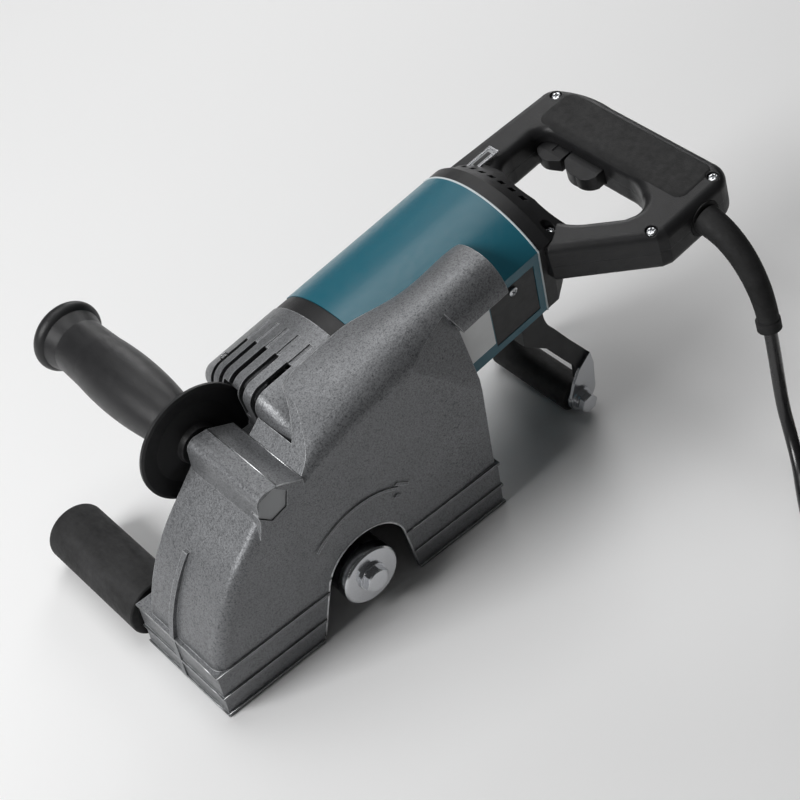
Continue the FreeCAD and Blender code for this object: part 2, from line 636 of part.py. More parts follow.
def rear_roller():
    y0, y1 = REAR_ROLLER_Y
    tread = [(8, y0), (REAR_ROLLER_R - 1, y0), (REAR_ROLLER_R, y0 + 1), (REAR_ROLLER_R, y1 - 1),
             (REAR_ROLLER_R - 1, y1), (8, y1)]
    NODES["rear_roller_tread"] = revolve_y(tread, REAR_ROLLER)
    NODES["rear_roller_core"] = ring_y(8, 4.0 + RUN_FIT, REAR_ROLLER, y0, y1)
    cheek = [(351.5, 41), (362.5, 50), (365, 38), (364.5, 20), ((360.5, 7.5), (349, 3.5)),
             ((340.5, 8), (340.5, 18)), (345, 30)]
    plates = [prism_y(cheek, y, y + 2.5).cut(rod_y(4.0, REAR_ROLLER, y - 1, y + 4)) for y in (22.0, 105.5)]
    NODES["roller_side_plates"] = Part.makeCompound(plates)
    bolt_head = hexagon_y(13, REAR_ROLLER, 12, 16.9, 10)
    NODES["rear_roller_bolt"] = fuse([rod_y(4.0, REAR_ROLLER, 16, 112), bolt_head])
    hardware = [ring_y(r, 4.0, REAR_ROLLER, a, b)
                for r, a, b in ((7.5, 17.2, 19.7), (9.5, 19.8, 21.9), (9.5, 24.6, 26.6))]
    nut = hexagon_y(13, REAR_ROLLER, 108.2, 115, 0).cut(rod_y(4.0, REAR_ROLLER, 107, 116))
    NODES["rear_roller_hardware"] = Part.makeCompound(hardware + [nut])
    NODES["rear_bracket"] = rear_bracket()


def rear_bracket():
    """Moulded bracket that hangs the rear roller under the motor."""
    side = [(306, 118), (326, 120), ((327.5, 104), (334, 93)), (348, 71), (363, 49), (354, 36.5), (340, 57),
            (325, 80), (306, 96)]
    web = [(306, 118), (320, 118), (326, 96), (352, 55), (360, 45), (354, 36.5), (340, 57), (325, 80),
           (306, 96)]
    parts = [prism_y(side, 24.6, 29.5), prism_y(side, 100.5, 105.4), prism_y(web, 24.6, 105.4)]
    lugs = [prism_y([(350, 50), (362, 50), (362, 30), (350, 30)], y, y + 4.5) for y in (24.6, 100.9)]
    solid = fuse(parts + lugs)
    solid = solid.cut(tilt(motor_block(GAP, 250, 400)))
    return biggest(solid)


# ---------------------------------------------------------------- rear handle
def handle_plan():
    """Outer edge of the D-shaped handle, s and y."""
    return [(346, 10), (397, -42), (404, -45), (455, -45), ((466, -39), (470, -26)), (470, 70),
            ((468, 98), (463, 112)), ((458, 119), (449, 121.5)), (366, 126), (346, 126)]


def handle_opening():
    """Hand space of the handle, s and y."""
    return [(428, 72), (428, 18), ((426, 4), (420, -6)), ((414, -13), (404, -14)), (398, -11), (380, 8),
            ((371, 24), (370, 44)), ((371, 68), (378, 84)), ((385, 95), (396, 97)), (418, 97),
            ((426, 92), (428, 84))]


def handle_solid():
    loop = prism_h(handle_plan(), HANDLE_BOTTOM, HANDLE_TOP).cut(prism_h(handle_opening(), 90, 150))
    edges = [edge for edge in loop.Edges if abs(edge.BoundBox.ZLength) < 1e-6]
    loop = loop.makeFillet(7.0, edges)
    band = prism_s(motor_section(), MOTOR_REAR + 0.2, 352)
    ends = []
    for s, section in ((352, motor_section()), (378, motor_section(HANDLE_TOP + 4, 128, 6, 102, 99))):
        ends.append(outline(section, lambda a, b: Vector(s, a, b)))
    neck = Part.makeLoft(ends, True, True).cut(prism_h(handle_opening(), 90, 170))
    return fuse([loop, band, neck])


def handle_cavity():
    """Space for the rear of the motor, the switch and the trigger."""
    motor_end = motor_block(-SHELL - 1, 340, 356)
    switch = box((430, 36, 104), (462, 92, 132))
    trigger = box((405, 39, 109), (440, 71, 124))
    lock = box((405, 72.2, 110), (440, 96, 123))
    return motor_end.fuse(switch).fuse(trigger).fuse(lock)


SCREW_PLACES = ((455, 110), (458, -36), (399, -35), (360, 22), (360, 118))


def handle_nodes():
    solid = handle_solid().cut(handle_cavity())
    upper = solid.common(box((300, -100, HANDLE_MID + 0.05), (500, 200, 200)))
    lower = solid.common(box((300, -100, 0), (500, 200, HANDLE_MID - 0.05)))
    screws, cutters = [], []
    for s, y in SCREW_PLACES:
        top = Vector(s, y, HANDLE_TOP - 2.9)
        shank = rod(1.9, Vector(s, y, 108), top)
        screws.append(rod(4.0, top, top + Vector(0, 0, 3.1)).fuse(shank))
        cutters.append(rod(4.4, top - Vector(0, 0, 0.1), top + Vector(0, 0, 33)).fuse(shank))
    collar = guard_collar()
    cutters = fuse(cutters + [collar])
    vents = [box((361, 44 + 10 * i, HANDLE_TOP - 6), (365, 49 + 10 * i, 170)) for i in range(7)]
    NODES["handle_upper"] = tilt(biggest(upper.cut(cutters).cut(fuse(vents))))
    NODES["handle_lower"] = tilt(biggest(lower.cut(cutters)))
    NODES["case_screws"] = tilt(Part.makeCompound(screws + [panel_screw()]))
    trigger_nodes()


def trigger_nodes():
    face = [(432, 40), (432, 70), (420, 70), ((414.5, 62), (414, 54)), ((415.5, 45), (421, 40))]
    lock = [(431, 72.6), (431, 95.4), (418, 95.4), ((413.5, 88), (414.5, 80)), (418, 72.6)]
    slope = prism_y([(400, 116), (400, 130), (426, 130), (426, 124)], 30, 100)
    buttons = (("trigger", face, 110, 123, 55, TRIGGER_TRAVEL),
               ("lock_off_button", lock, 111, 122, 84, LOCK_TRAVEL))
    for name, shape, low, high, middle, travel in buttons:
        rear = shape[0][0]
        bore = rod(4.0, Vector(rear - 9, middle, HANDLE_MID), Vector(rear + 1, middle, HANDLE_MID))
        NODES[name] = tilt(prism_h(shape, low, high).cut(slope).cut(bore))
        front = Vector(rear - 8.5 + travel, middle, HANDLE_MID)
        spring = ring(3.5, 2.2, front, Vector(441, middle, HANDLE_MID))
        NODES[name.split("_")[0] + "_spring"] = tilt(spring)
    NODES["switch_body"] = tilt(box((441, 38, 105), (461, 90, 131)))
    NODES["handle_badge"] = tilt(box((366, 101, HANDLE_TOP + 3), (390, 110, HANDLE_TOP + 4)))


GUARD_ROOT = (437.0, -45.0, HANDLE_MID)


def guard_collar():
    """Hole in the handle's side that holds the root of the cord guard."""
    s, y, h = GUARD_ROOT
    return rod(13.2, Vector(s, y - 2, h), Vector(s, y + 14, h))


# ---------------------------------------------------------------- cord
def rounded_path(points, show):
    """Straight runs joined by tangent arcs, each as large as its two runs allow."""
    edges = []
    here = points[0]
    radii = []
    for before, corner, after in zip(points, points[1:], points[2:]):
        back, ahead = (before - corner), (after - corner)
        turn = math.pi - back.getAngle(ahead)
        cut = 0.45 * min(back.Length, ahead.Length)
        radii.append(cut / math.tan(turn / 2))
        start = corner + back.normalize() * cut
        end = corner + ahead.normalize() * cut
        middle_dir = (start + end) * 0.5 - corner
        gap = radii[-1] / math.cos(turn / 2) - radii[-1]
        middle = corner + middle_dir.normalize() * gap
        edges.append(Part.LineSegment(here, start).toShape())
        edges.append(Part.Arc(start, middle, end).toShape())
        here = end
    edges.append(Part.LineSegment(here, points[-1]).toShape())
    print(show, "radii", [round(r, 1) for r in radii])
    return Part.Wire(edges)


def tube(points, radius, show):
    path = rounded_path(points, show)
    start = points[0]
    circle = Part.Wire(Part.makeCircle(radius, start, points[1] - start))
    swept = path.makePipeShell([circle], True, False)
    expected = math.pi * radius ** 2 * path.Length
    print(show, "length", round(path.Length, 1), "volume ratio", round(swept.Volume / expected, 4))
    return swept


GUARD_LINE = ((416.3, -45, 177.7), (416.2, -60, 174.8), (416.1, -75, 165.5), (416, -88, 150),
              (416, -96.5, 132), (416, -101, 112))
CORD_LINE = ((416, -101, 112), (416, -105, 90.5), (416.3, -108, 68), (416.1, -112.3, 43.4),
             (412, -123.2, 24.7), (403, -138, 11.2), (390.6, -152, 4.75), (375.3, -169.9, 4.75),
             (360.7, -189.2, 4.75), (348.3, -211.2, 4.75), (339.4, -234, 4.75))


def cord_guard():
    """Moulded guard that bends with the cord, thick at the handle and with a collar at its end."""
    line = [Vector(*point) for point in GUARD_LINE]
    rings = []
    for i, point in enumerate(line):
        ahead = line[min(i + 1, len(line) - 1)] - line[max(i - 1, 0)]
        radius = 10.6 - 0.68 * i
        rings.append(Part.Wire(Part.makeCircle(radius, point, ahead)))
    body = Part.makeLoft(rings, True, False)
    root = rod(13.0, line[0] + Vector(0, -0.5, 0), line[0] + Vector(0, 11, 0))
    run = (line[-1] - line[-2]).normalize()
    collar = rod(8.6, line[-1] - run * 7.5, line[-1])
    return body.fuse(root).fuse(collar).removeSplitter()


def coil_point(angle, radius, z):
    turn = math.radians(angle)
    return Vector(COIL_CENTRE[0] + radius * math.cos(turn), COIL_CENTRE[1] + radius * math.sin(turn), z)


def cord_nodes():
    NODES["cord_guard"] = cord_guard()
    NODES["power_cord"] = tube([Vector(*point) for point in CORD_LINE], CORD_R, "power_cord")
    height = 2 * CORD_R * COIL_LAYERS + 0.3
    low, high = coil_point(0, 0, 0), coil_point(0, 0, height)
    coil = ring(COIL_OUTER + CORD_R + 0.3, COIL_INNER - CORD_R - 0.3, low, high)
    rims = [edge for edge in coil.Edges if edge.BoundBox.ZLength < 1e-6]
    NODES["cord_coil"] = coil.makeFillet(3.5, rims)
    start = coil_point(COIL_EXIT, COIL_OUTER, CORD_R)
    ahead = coil_point(COIL_EXIT + 90, 1, 0) - coil_point(0, 0, 0)
    end = start + ahead * TAIL_LENGTH
    NODES["cord_tail"] = rod(CORD_R, start, end)
    NODES["power_plug"] = power_plug(end, ahead)


def power_plug(start, ahead):
    """Two-pin moulded plug lying on the floor, with a tapered entry for the cord."""
    side = ahead.cross(Vector(0, 0, 1))
    rise = Vector(0, 0, 1)
    octagon = ((-0.6, -1), (0.6, -1), (1, -0.5), (1, 0.5), (0.6, 1), (-0.6, 1), (-1, 0.5), (-1, -0.5))

    def section(distance, width, height):
        middle = start + ahead * distance + rise * (height / 2 - CORD_R)
        corners = [middle + side * (a * width / 2) + rise * (b * height / 2) for a, b in octagon]
        return Part.makePolygon(corners + [corners[0]])
    sizes = ((0, 12.5, 9.5), (24, 18, 13), (30, 30, 22), (62, 35, 25))
    body = Part.makeLoft([section(*size) for size in sizes], True, True)
    pins = []
    for sign in (-1, 1):
        foot = start + ahead * 62 + side * (9.5 * sign) + rise * (12.5 - CORD_R)
        pins.append(rod(2.4, foot, foot + ahead * 19))
    return Part.makeCompound([body] + pins)


CORD_NODES = ("cord_guard", "power_cord", "cord_coil", "cord_tail", "power_plug")


def write_all():
    os.makedirs("parts", exist_ok=True)
    machine = Part.makeCompound([shape for name, shape in NODES.items() if name not in CORD_NODES])
    extent = machine.optimalBoundingBox()
    shift = Vector(-(extent.XMin + extent.XMax) / 2, -(extent.YMin + extent.YMax) / 2, 0)
    print("length, width, height", round(extent.XLength, 2), round(extent.YLength, 2), round(extent.ZLength, 2))
    print("shift", [round(v, 3) for v in shift])
    for name, shape in NODES.items():
        placed = shape.copy()
        placed.translate(shift)
        placed.exportStep("parts/" + name + ".step")
        if not shape.isValid() or not shape.Solids:
            print("CHECK", name, shape.isValid(), len(shape.Solids))


def main():
    cover_nodes()
    NODES["gear_housing"] = gear_housing()
    motor_shells()
    motor_trim()
    motor_inside()
    brush_gear()
    drive_nodes()
    side_handle()
    front_roller()
    rear_roller()
    handle_nodes()
    cord_nodes()
    write_all()
    print(len(NODES), "nodes")


main()
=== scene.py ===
"""Looks of the wall chaser: materials, fine details, cord, floor, light and camera."""
import bpy
import bmesh
import json
import math
from mathutils import Matrix, Vector
from mathutils.bvhtree import BVHTree
from mathutils.geometry import convex_hull_2d


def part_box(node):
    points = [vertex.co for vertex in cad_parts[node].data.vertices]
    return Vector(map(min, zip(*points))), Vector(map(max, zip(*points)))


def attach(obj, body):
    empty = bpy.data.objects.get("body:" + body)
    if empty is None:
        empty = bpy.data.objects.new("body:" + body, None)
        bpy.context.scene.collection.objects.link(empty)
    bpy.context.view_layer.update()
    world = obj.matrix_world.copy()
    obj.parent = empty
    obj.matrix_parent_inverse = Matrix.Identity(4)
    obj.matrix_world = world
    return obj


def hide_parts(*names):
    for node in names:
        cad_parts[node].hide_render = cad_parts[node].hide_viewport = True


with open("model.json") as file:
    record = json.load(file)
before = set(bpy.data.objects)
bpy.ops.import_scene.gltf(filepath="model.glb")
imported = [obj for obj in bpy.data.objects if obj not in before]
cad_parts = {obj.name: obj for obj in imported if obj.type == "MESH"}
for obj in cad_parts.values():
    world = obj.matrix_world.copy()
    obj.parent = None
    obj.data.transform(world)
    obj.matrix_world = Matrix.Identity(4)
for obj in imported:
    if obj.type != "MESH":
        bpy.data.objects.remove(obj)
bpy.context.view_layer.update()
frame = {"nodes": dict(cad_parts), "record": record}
nodes = frame["nodes"]

# ---------------------------------------------------------------- places
MM = 0.001
PITCH = math.radians(8)
ROLLER_AHEAD = 8.2               # the front roller reaches this far ahead of the work frame, mm
GRIP_REACH = 238                 # the side grip ends this far across it, mm
# The design's own work frame starts at the front of the base, on the blade side.
ORIGIN = Vector((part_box("front_roller_tread")[0][0] + ROLLER_AHEAD * MM,
                 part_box("side_grip")[1][1] - GRIP_REACH * MM, 0))


def work(x, y, z):
    """A point of the work frame, in mm, as a point of the row frame, in metres."""
    return ORIGIN + Vector((x, y, z)) * MM


def tilted(s, y, h):
    """A point of the motor's pitched frame: s along the motor, h square to it."""
    return work(s * math.cos(PITCH) - h * math.sin(PITCH), y,
                s * math.sin(PITCH) + h * math.cos(PITCH))


ALONG = Vector((math.cos(PITCH), 0, math.sin(PITCH)))
UPWARD = Vector((-math.sin(PITCH), 0, math.cos(PITCH)))


# ---------------------------------------------------------------- camera
LENS, SENSOR = 88.11, 36                            # mm
CAMERA_PLACE = (-298.9, -740.2, 1043.6)             # work frame, mm
AZIMUTH, ELEVATION, ROLL = -32.93, 45.10, -11.55    # degrees


def make_camera():
    data = bpy.data.cameras.new("camera")
    data.lens = LENS
    data.sensor_width = SENSOR
    data.clip_end = 20
    camera = bpy.data.objects.new("camera", data)
    bpy.context.scene.collection.objects.link(camera)
    azimuth, elevation, roll = (math.radians(a) for a in (AZIMUTH, ELEVATION, ROLL))
    back = Vector((math.sin(azimuth) * math.cos(elevation),
                   -math.cos(azimuth) * math.cos(elevation), math.sin(elevation)))
    right = Vector((math.cos(azimuth), math.sin(azimuth), 0))
    up = back.cross(right)
    side = math.cos(roll) * right + math.sin(roll) * up
    top = math.cos(roll) * up - math.sin(roll) * right
    turn = Matrix((side, top, back)).transposed().to_4x4()
    camera.matrix_world = Matrix.Translation(work(*CAMERA_PLACE)) @ turn
    bpy.context.scene.camera = camera


make_camera()

# ---------------------------------------------------------------- cord
CORD_R = 4.75 * MM
# From the mouth of the guard to the start of the coil, in the work frame, in metres.
CORD_LINE = ((0.416, -0.101, 0.112), (0.416, -0.105, 0.0905), (0.4163, -0.108, 0.068),
             (0.4161, -0.1123, 0.0434), (0.412, -0.1232, 0.0247), (0.403, -0.138, 0.0112),
             (0.3906, -0.152, 0.00475), (0.3753, -0.1699, 0.00475), (0.3607, -0.1892, 0.00475),
             (0.3483, -0.2112, 0.00475), (0.3394, -0.234, 0.00475))
COIL_CENTRE = (0.3973, -0.2409)
COIL_INNER, COIL_OUTER = 0.0491, 0.0586
LAYERS = 4
STEP = 2 * CORD_R
# Degrees round the coil: the cord comes in and leaves, moves inwards, climbs from layer to
# layer, moves outwards and goes down again. A climb and a descent repeat each turn.
ENTRY, EXIT = 174.0, 354.0
INWARDS_END = 230
CLIMB = (484, 534)
OUTWARDS = (1365, 1415)
DESCENT = (1675, 1725)
FULL_TURNS = 6
TAIL = 0.042
POINTS_PER_TURN = 18


def ease(angle, start, end):
    """0 before start, 1 after end, smooth between."""
    part = min(max((angle - start) / (end - start), 0.0), 1.0)
    return part * part * (3 - 2 * part)


def coil_place(angle):
    """Radius and height of the wound cord at an angle that counts on from turn to turn."""
    radius = COIL_OUTER + (COIL_INNER - COIL_OUTER) * ease(angle, ENTRY, INWARDS_END)
    height = CORD_R
    for i in range(LAYERS - 1):
        height += STEP * ease(angle, CLIMB[0] + 360 * i, CLIMB[1] + 360 * i)
    radius += (COIL_OUTER - COIL_INNER) * ease(angle, *OUTWARDS)
    for i in range(LAYERS - 1):
        height -= STEP * ease(angle, DESCENT[0] + 360 * i, DESCENT[1] + 360 * i)
    return radius, height


def coil_points():
    last = EXIT + 360 * FULL_TURNS
    count = round((last - ENTRY) / 360 * POINTS_PER_TURN)
    # The curve runs inside its control points, so they stand a little further out.
    pull = math.cos(math.pi / POINTS_PER_TURN) ** 2 / 2 + 0.5
    points = []
    for i in range(1, count + 1):
        angle = ENTRY + (last - ENTRY) * i / count
        radius, height = coil_place(angle)
        turn = math.radians(angle)
        points.append((COIL_CENTRE[0] + radius / pull * math.cos(turn),
                       COIL_CENTRE[1] + radius / pull * math.sin(turn), height))
    return points


def plug_place():
    """Where the cord enters the plug, and the way the plug points."""
    turn = math.radians(EXIT)
    ahead = Vector((-math.sin(turn), math.cos(turn), 0))
    start = Vector((COIL_CENTRE[0] + COIL_OUTER * math.cos(turn),
                    COIL_CENTRE[1] + COIL_OUTER * math.sin(turn), CORD_R))
    return start + ahead * TAIL, ahead


def make_cord():
    end, ahead = plug_place()
    points = [Vector(p) for p in CORD_LINE] + [Vector(p) for p in coil_points()]
    points += [end - ahead * (TAIL * 0.62), end - ahead * (TAIL * 0.3), end]
    curve = bpy.data.curves.new("mains_cord", "CURVE")
    curve.dimensions = "3D"
    spline = curve.splines.new("NURBS")
    spline.points.add(len(points) - 1)
    for point, place in zip(spline.points, points):
        point.co = (*(place + ORIGIN), 1)
        point.radius = CORD_R
    spline.order_u = 3
    spline.use_endpoint_u = True
    spline.resolution_u = 6
    curve.bevel_depth = 1.0
    curve.bevel_resolution = 5
    curve.use_fill_caps = True
    cord = bpy.data.objects.new("mains_cord", curve)
    bpy.context.scene.collection.objects.link(cord)
    return cord


cord = make_cord()
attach(cord, "root")
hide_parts("power_cord", "cord_coil", "cord_tail")


# ---------------------------------------------------------------- node helpers for materials
class Shader:
    """One principled material with its node tree."""

    def __init__(self, name):
        self.material = bpy.data.materials.new(name)
        self.material.use_nodes = True
        self.tree = self.material.node_tree
        self.main = self.tree.nodes["Principled BSDF"]
        self.place = self.tree.nodes.new("ShaderNodeTexCoord").outputs["Object"]

    def set(self, **values):
        for key, value in values.items():
            self.main.inputs[key.replace("_", " ")].default_value = value

    def link(self, source, target):
        self.tree.links.new(source, target)

    def noise(self, scale, detail=2.0, stretch=None, roughness=0.5):
        node = self.tree.nodes.new("ShaderNodeTexNoise")
        node.inputs["Scale"].default_value = scale
        node.inputs["Detail"].default_value = detail
        node.inputs["Roughness"].default_value = roughness
        self.link(self.stretched(stretch), node.inputs["Vector"])
        return node.outputs["Fac"]

    def cells(self, scale, output="Distance"):
        node = self.tree.nodes.new("ShaderNodeTexVoronoi")
        node.inputs["Scale"].default_value = scale
        self.link(self.place, node.inputs["Vector"])
        return node.outputs[output]

    def stretched(self, stretch):
        if stretch is None:
            return self.place
        node = self.tree.nodes.new("ShaderNodeMapping")
        node.inputs["Scale"].default_value = stretch
        self.link(self.place, node.inputs["Vector"])
        return node.outputs["Vector"]

    def ramp(self, source, *stops):
        """stops are (position, value) with value a grey level or a colour."""
        node = self.tree.nodes.new("ShaderNodeValToRGB")
        line = node.color_ramp.elements
        while len(line) < len(stops):
            line.new(0.5)
        for element, (position, value) in zip(line, stops):
            element.position = position
            element.color = (*value, 1) if isinstance(value, tuple) else (value, value, value, 1)
        self.link(source, node.inputs["Fac"])
        return node.outputs["Color"]

    def mix(self, first, second, amount, blend="MIX"):
        node = self.tree.nodes.new("ShaderNodeMix")
        node.data_type = "RGBA"
        node.blend_type = blend
        sockets = node.inputs["Factor"], node.inputs[6], node.inputs[7]
        for socket, value in zip(sockets, (amount, first, second)):
            if isinstance(value, tuple):
                socket.default_value = (*value, 1)
            elif isinstance(value, float):
                socket.default_value = value
            else:
                self.link(value, socket)
        return node.outputs[2]

    def bump(self, height, strength, distance, after=None):
        node = self.tree.nodes.new("ShaderNodeBump")
        node.inputs["Strength"].default_value = strength
        node.inputs["Distance"].default_value = distance
        self.link(height, node.inputs["Height"])
        if after is not None:
            self.link(after, node.inputs["Normal"])
        return node.outputs["Normal"]

    def soft_edges(self, radius):
        node = self.tree.nodes.new("ShaderNodeBevel")
        node.samples = 4
        node.inputs["Radius"].default_value = radius
        return node.outputs["Normal"]

    def edge_mask(self, radius, low, high):
        """1 along sharp edges, 0 on flat ground."""
        bevel = self.soft_edges(radius)
        ground = self.tree.nodes.new("ShaderNodeNewGeometry")
        dot = self.tree.nodes.new("ShaderNodeVectorMath")
        dot.operation = "DOT_PRODUCT"
        self.link(bevel, dot.inputs[0])
        self.link(ground.outputs["Normal"], dot.inputs[1])
        return self.ramp(dot.outputs["Value"], (low, 1.0), (high, 0.0))

    def finish(self, colour=None, roughness=None, normal=None):
        if colour is not None:
            self.link(colour, self.main.inputs["Base Color"])
        if roughness is not None:
            self.link(roughness, self.main.inputs["Roughness"])
        if normal is not None:
            self.link(normal, self.main.inputs["Normal"])
        return self.material


# ---------------------------------------------------------------- materials
def hammertone():
    """Hammertone paint on a casting: dark pepper on bright grey, paler along sharp edges as
    painted highlight and rubbed paint.
    """
    s = Shader("hammertone_paint")
    s.set(Metallic=0.45, Coat_Weight=0.12, Coat_Roughness=0.30)
    ground = s.mix((0.165, 0.170, 0.178), (0.225, 0.230, 0.238), s.noise(40, 4.0))
    grains = s.ramp(s.cells(820, output="Color"), (0.10, 0.0), (0.52, 1.0))
    pepper = s.ramp(s.noise(1150, 2.0), (0.36, 0.0), (0.52, 1.0))
    grain = s.mix(grains, pepper, 0.6)
    colour = s.mix((0.060, 0.062, 0.066), ground, grain)
    patches = s.ramp(s.noise(150, 3.0), (0.35, 0.35), (0.6, 1.0))
    # Pale colour along sharp edges, in patches: painted highlight together with paint rubbed bare.
    glint_and_rub = s.mix(s.edge_mask(0.0009, 0.90, 0.985), patches, 1.0, "MULTIPLY")
    colour = s.mix(colour, (0.56, 0.57, 0.58), glint_and_rub)
    rough = s.ramp(s.noise(300, 2.0), (0.3, 0.38), (0.7, 0.52))
    pits = s.bump(s.cells(560), 0.30, 0.0004, s.soft_edges(0.0007))
    return s.finish(colour, rough, s.bump(s.noise(1300, 2.0), 0.20, 0.0002, pits))


def teal_plastic():
    s = Shader("teal_moulding")
    s.set(Coat_Weight=0.15, Coat_Roughness=0.22, IOR=1.45)
    tone = s.noise(14, 3.0)
    colour = s.mix((0.010, 0.104, 0.146), (0.015, 0.122, 0.170), tone)
    scuff = s.ramp(s.noise(70, 5.0, (0.2, 1.0, 1.0)), (0.62, 0.0), (0.78, 1.0))
    colour = s.mix(colour, (0.050, 0.200, 0.250), s.mix(scuff, (0.2, 0.2, 0.2), 1.0, "MULTIPLY"))
    rough = s.ramp(s.noise(220, 3.0), (0.3, 0.30), (0.75, 0.42))
    return s.finish(colour, rough, s.bump(s.noise(1500, 2.0), 0.12, 0.0002, s.soft_edges(0.0008)))


def black_plastic(name="black_moulding", level=0.011, rough_from=0.36, rough_to=0.50, grain=1500):
    s = Shader(name)
    s.set(IOR=1.45, Specular_IOR_Level=0.38)
    dark, pale = (level, level, level * 1.06), (level * 1.7, level * 1.7, level * 1.8)
    colour = s.mix(dark, pale, s.noise(60, 4.0))
    # Lighter along sharp edges: painted highlight together with wear.
    edge_sheen_and_wear = s.edge_mask(0.0010, 0.82, 0.98)
    colour = s.mix(colour, (0.05, 0.05, 0.052), s.mix(edge_sheen_and_wear, (0.5, 0.5, 0.5), 1.0, "MULTIPLY"))
    rough = s.ramp(s.noise(140, 4.0), (0.3, rough_from), (0.75, rough_to))
    return s.finish(colour, rough, s.bump(s.cells(grain), 0.28, 0.00025, s.soft_edges(0.0007)))


def black_rubber(name="black_rubber", level=0.012, dust=0.3):
    """Matt rubber with pale chalky marks."""
    s = Shader(name)
    s.set(IOR=1.42, Specular_IOR_Level=0.32)
    marks = s.ramp(s.noise(38, 6.0, (1.0, 0.35, 1.0), 0.65), (0.45, 0.0), (0.75, 1.0))
    marks = s.mix(marks, (dust, dust, dust), 1.0, "MULTIPLY")
    dark, pale = (level, level, level), (level * 1.6, level * 1.6, level * 1.65)
    ground = s.mix(dark, pale, s.noise(500, 2.0))
    colour = s.mix(ground, (0.060, 0.060, 0.062), marks)
    rough = s.ramp(s.noise(200, 3.0), (0.3, 0.58), (0.75, 0.78))
    return s.finish(colour, rough, s.bump(s.noise(1100, 3.0), 0.35, 0.0003, s.soft_edges(0.0006)))


def metal(name, colour, rough_from, rough_to, stretch=(1, 1, 1), scale=160, bump=0.12, depth=0.72):
    s = Shader(name)
    s.set(Metallic=1.0)
    streak = s.noise(scale, 5.0, stretch)
    dark = tuple(c * depth for c in colour)
    tint = s.mix(dark, colour, s.ramp(streak, (0.25, 0.0), (0.6, 1.0)))
    rough = s.ramp(s.noise(scale * 2, 3.0, stretch), (0.3, rough_from), (0.75, rough_to))
    return s.finish(tint, rough, s.bump(streak, bump, 0.0002, s.soft_edges(0.0005)))


def copper_winding():
    s = Shader("copper_winding")
    s.set(Metallic=0.9)
    wires = s.noise(700, 2.0, (6.0, 1.0, 1.0))
    colour = s.mix((0.30, 0.10, 0.04), (0.66, 0.28, 0.12), wires)
    return s.finish(colour, s.ramp(wires, (0.3, 0.3), (0.7, 0.45)), s.bump(wires, 0.6, 0.0004))


def cord_sheath():
    s = Shader("cord_sheath")
    s.set(Coat_Weight=0.3, Coat_Roughness=0.2)
    colour = s.mix((0.008, 0.008, 0.009), (0.020, 0.020, 0.021), s.noise(90, 4.0))
    rough = s.ramp(s.noise(260, 3.0), (0.3, 0.24), (0.75, 0.40))
    return s.finish(colour, rough, s.bump(s.noise(800, 2.0), 0.15, 0.0002))


def label_film():
    s = Shader("label_film")
    colour = s.mix((0.66, 0.67, 0.67), (0.76, 0.77, 0.77), s.noise(60, 3.0))
    rough = s.ramp(s.noise(200, 2.0), (0.3, 0.30), (0.7, 0.42))
    return s.finish(colour, rough, s.bump(s.noise(900, 1.0), 0.05, 0.0001))


def plain(name, colour, rough):
    s = Shader(name)
    shade = s.mix(tuple(c * 0.82 for c in colour), colour, s.noise(80, 4.0))
    spread = s.ramp(s.noise(240, 3.0), (0.3, rough - 0.06), (0.75, rough + 0.08))
    grain = s.bump(s.noise(900, 2.0), 0.2, 0.0002, s.soft_edges(0.0005))
    return s.finish(shade, spread, grain)


FINISH = {
    "cast_grey": hammertone(),
    "teal_plastic": teal_plastic(),
    "black_plastic": black_plastic(),
    "black_rubber": black_rubber(),
    "cord_black": cord_sheath(),
    "zinc": metal("zinc_plate", (0.60, 0.61, 0.63), 0.16, 0.24, scale=900, bump=0.03, depth=0.88),
    "steel": metal("ground_steel", (0.50, 0.51, 0.52), 0.24, 0.42, (1, 0.2, 1)),
    "case_hardened": metal("gear_steel", (0.30, 0.30, 0.31), 0.28, 0.46),
    "copper": copper_winding(),
    "carbon": plain("carbon", (0.035, 0.035, 0.038), 0.55),
    "brass": metal("brass", (0.66, 0.48, 0.20), 0.25, 0.42),
    "alloy": metal("cast_alloy", (0.48, 0.49, 0.50), 0.38, 0.55, scale=420, bump=0.4),
    "label_white": label_film(),
    "plug_grey": plain("grey_moulding", (0.36, 0.37, 0.38), 0.42),
}
ROLLER_RUBBER = black_rubber("roller_rubber", 0.014, 0.6)
SOFT_GRIP = black_rubber("soft_grip", 0.013, 0.15)
SIDE_GRIP = black_plastic("side_grip_moulding", 0.013, 0.34, 0.46, 2200)
# Pale metal for beads that paint highlights along the casting's edges.
EDGE_HIGHLIGHT_PAINT = metal("painted_edge_highlight", (0.58, 0.59, 0.60), 0.30, 0.45, scale=300, bump=0.1, depth=0.6)
# Pale colour for the bead that paints the highlight along the teal housing's rear edge.
RIM_HIGHLIGHT_PAINT = plain("painted_rim_highlight", (0.62, 0.68, 0.70), 0.35)


def dress(obj, material):
    obj.data.materials.clear()
    obj.data.materials.append(material)


def dress_nodes():
    """Every CAD node takes its slot's finish, with its flat facets kept and its curves smooth."""
    for row in frame["record"]["subparts"]:
        obj = nodes[row["node"]]
        dress(obj, FINISH[row["material_slot"]])
        for face in obj.data.polygons:
            face.use_smooth = True
        obj.data.set_sharp_from_angle(angle=math.radians(28))
    for name in ("front_roller_tread", "rear_roller_tread"):
        dress(nodes[name], ROLLER_RUBBER)
    dress(nodes["side_grip"], SIDE_GRIP)


dress_nodes()
dress(cord, FINISH["cord_black"])


